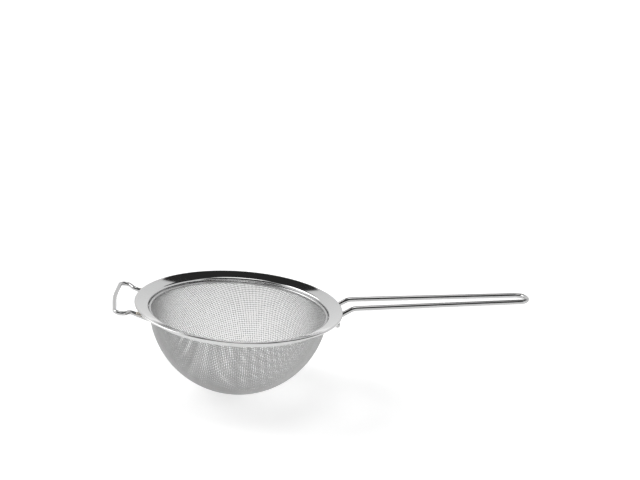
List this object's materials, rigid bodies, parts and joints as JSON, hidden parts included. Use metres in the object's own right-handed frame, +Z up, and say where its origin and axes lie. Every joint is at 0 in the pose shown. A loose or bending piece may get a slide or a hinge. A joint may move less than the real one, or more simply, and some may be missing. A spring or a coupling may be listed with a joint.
{
  "type": "tea strainer",
  "caption": "Round-bottomed woven wire strainer in a wide polished rim, with a long double wire handle and a wire rest loop.",
  "frame": {"origin": "on the bowl's axis, level with the top of the rim's outer edge", "axes": "+Z up out of the bowl's mouth, +X along the handle towards its far end, +Y to its left"},
  "size_m": [0.1736, 0.084, 0.0414],
  "materials": {
    "rim_steel": "mirror polished stainless steel",
    "ring_steel": "polished stainless steel strip",
    "cloth_steel": "bright drawn stainless wire, woven",
    "wire_steel": "polished stainless wire",
    "weld_steel": "ground weld, dull"
  },
  "bodies": {
    "root": {"mesh_bowl": "cloth_steel", "binding_ring": "ring_steel", "rim_flange": "rim_steel", "handle_wire": "wire_steel", "handle_welds": "weld_steel", "rest_wire": "wire_steel", "rest_welds": "weld_steel"}
  },
  "joints": []
}
